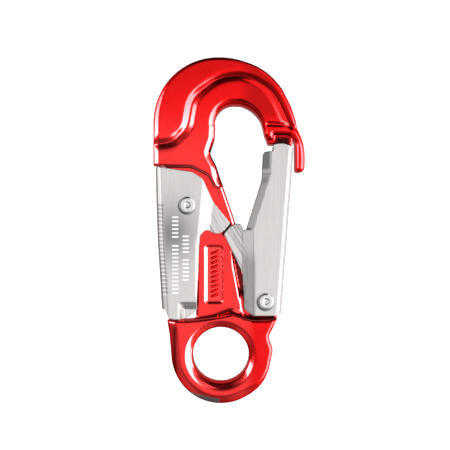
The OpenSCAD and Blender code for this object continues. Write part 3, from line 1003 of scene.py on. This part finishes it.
def area_light(name, place, target, size, radiance, only=None):
    """A rectangular softbox of a given brightness. With only, it lights nothing but those objects."""
    light = bpy.data.lights.new(name, "AREA")
    light.shape = "RECTANGLE"
    light.size, light.size_y = size
    light.energy = radiance * math.pi * size[0] * size[1]
    lamp = bpy.data.objects.new(name, light)
    lamp.location = place
    lamp.rotation_euler = (Vector(target) - Vector(place)).to_track_quat("-Z", "Y").to_euler()
    lamp.visible_camera = False
    bpy.context.scene.collection.objects.link(lamp)
    if only is not None:
        receivers = bpy.data.collections.new(name + "_receivers")
        for thing in only:
            receivers.objects.link(thing)
        lamp.light_linking.receiver_collection = receivers


def direction_fade(tree, source, low, high):
    """0 at low and 1 at high for a component of a direction, level past both. low may be larger."""
    node = tree.nodes.new("ShaderNodeMapRange")
    node.interpolation_type = "SMOOTHSTEP"
    node.inputs["From Min"].default_value = low
    node.inputs["From Max"].default_value = high
    tree.links.new(source, node.inputs["Value"])
    return node.outputs["Result"]


def blended(tree, factor, low, high):
    """The colour between two, by a factor. Each of the two is a socket or a grey level."""
    node = tree.nodes.new("ShaderNodeMix")
    node.data_type = "RGBA"
    tree.links.new(factor, node.inputs["Factor"])
    for socket, value in ((node.inputs["A"], low), (node.inputs["B"], high)):
        if isinstance(value, float):
            socket.default_value = (value, value, value, 1)
        else:
            tree.links.new(value, socket)
    return node.outputs["Result"]


def math_node(tree, operation, a, b=None):
    node = tree.nodes.new("ShaderNodeMath")
    node.operation = operation
    for socket, value in zip(node.inputs, (a, b)):
        if isinstance(value, (int, float)):
            socket.default_value = value
        elif value is not None:
            tree.links.new(value, socket)
    return node.outputs[0]


def make_world():
    """A white room. Mirror rays see a bright wall in front, a dimmer one behind, grey sides and
    one light on the right."""
    world = bpy.data.worlds.new("studio")
    bpy.context.scene.world = world
    world.use_nodes = True
    tree = world.node_tree
    background = tree.nodes["Background"]
    where = tree.nodes.new("ShaderNodeTexCoord")
    split = tree.nodes.new("ShaderNodeSeparateXYZ")
    tree.links.new(where.outputs["Generated"], split.inputs[0])
    x, y, z = split.outputs
    across = math_node(tree, "ABSOLUTE", x)
    along = math_node(tree, "ABSOLUTE", y)
    level = math_node(tree, "ABSOLUTE", z)
    facing = direction_fade(tree, along, 0.82, 0.93)
    aside = math_node(tree, "MULTIPLY", direction_fade(tree, across, 0.3, 0.6), SIDE_WALL)
    front = math_node(tree, "MULTIPLY", direction_fade(tree, z, 0.22, 0.04), 0.35)
    front = math_node(tree, "ADD", front, FRONT_WALL)
    behind = direction_fade(tree, y, 0.6, 0.9)
    front = blended(tree, behind, front, BACK_WALL)
    below = math_node(tree, "MULTIPLY", direction_fade(tree, z, -0.35, -0.75), 0.3)
    low_right = math_node(tree, "MULTIPLY", direction_fade(tree, z, -0.2, -0.45),
                          direction_fade(tree, x, 0.05, 0.3))
    below = math_node(tree, "ADD", below, math_node(tree, "MULTIPLY", low_right, 0.35))
    aside = math_node(tree, "ADD", aside, math_node(tree, "ADD", below, 0.03))
    room = blended(tree, facing, aside, front)
    gap = math_node(tree, "MAXIMUM", direction_fade(tree, along, 0.08, 0.13),
                    direction_fade(tree, level, 0.28, 0.34))
    in_front = direction_fade(tree, y, 0.42, 0.3)
    tall = direction_fade(tree, level, 0.56, 0.48)
    right = direction_fade(tree, x, 0.27, 0.36)
    strips = math_node(tree, "MULTIPLY", right, gap)
    strips = math_node(tree, "MULTIPLY", strips, math_node(tree, "MULTIPLY", in_front, tall))
    room = blended(tree, strips, room, SIDE_LIGHT)
    path = tree.nodes.new("ShaderNodeLightPath")
    seen = blended(tree, path.outputs["Is Glossy Ray"], 1.25, room)
    tree.links.new(seen, background.inputs["Color"])
    background.inputs["Strength"].default_value = 1.0
    bpy.context.scene.view_settings.view_transform = "Standard"


def make_camera():
    """Straight on from the front, near the height of the middle."""
    data = bpy.data.cameras.new("camera")
    data.lens = 82
    data.sensor_width = 36
    camera = bpy.data.objects.new("camera", data)
    camera.location = (0.0014, -0.350, 0.0440)
    camera.rotation_euler = (math.pi / 2, 0, 0)
    bpy.context.scene.collection.objects.link(camera)
    bpy.context.scene.camera = camera


def wall_light(name, start, end, foot, top, radiance, only):
    """An upright softbox between two compass directions, in degrees from the front towards the
    right, and between two heights above the middle of the object."""
    a, b = (Vector((math.sin(math.radians(t)), -math.cos(math.radians(t)), 0)) * WALL_RADIUS
            for t in (start, end))
    middle = Vector((0, 0, MIDDLE_HEIGHT))
    centre = (a + b) / 2
    height = Vector((0, 0, (foot + top) / 2 * WALL_RADIUS))
    size = ((a - b).length, (top - foot) * WALL_RADIUS)
    area_light(name, middle + centre + height, middle + height, size, radiance, only)


def main():
    body = make_body()
    gate = make_gate()
    lever = make_lever()
    panel_marking = make_markings(body.data.materials[0])
    make_springs()
    finish_cad_nodes()
    make_floor(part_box("body")[0].z - FLOOR_GAP)
    make_world()
    area_light("key", (0.25, -0.35, 0.45), (0, 0, 0.04), (0.3, 0.3), 2.0)
    pieces = {"body": [body, panel_marking], "lever": [lever], "gate": [gate], "steel": [lever, gate]}
    for name, start, end, foot, top, radiance, lit in STRIPS:
        wall_light(name, start, end, foot, top, radiance, pieces[lit])
    make_camera()


main()
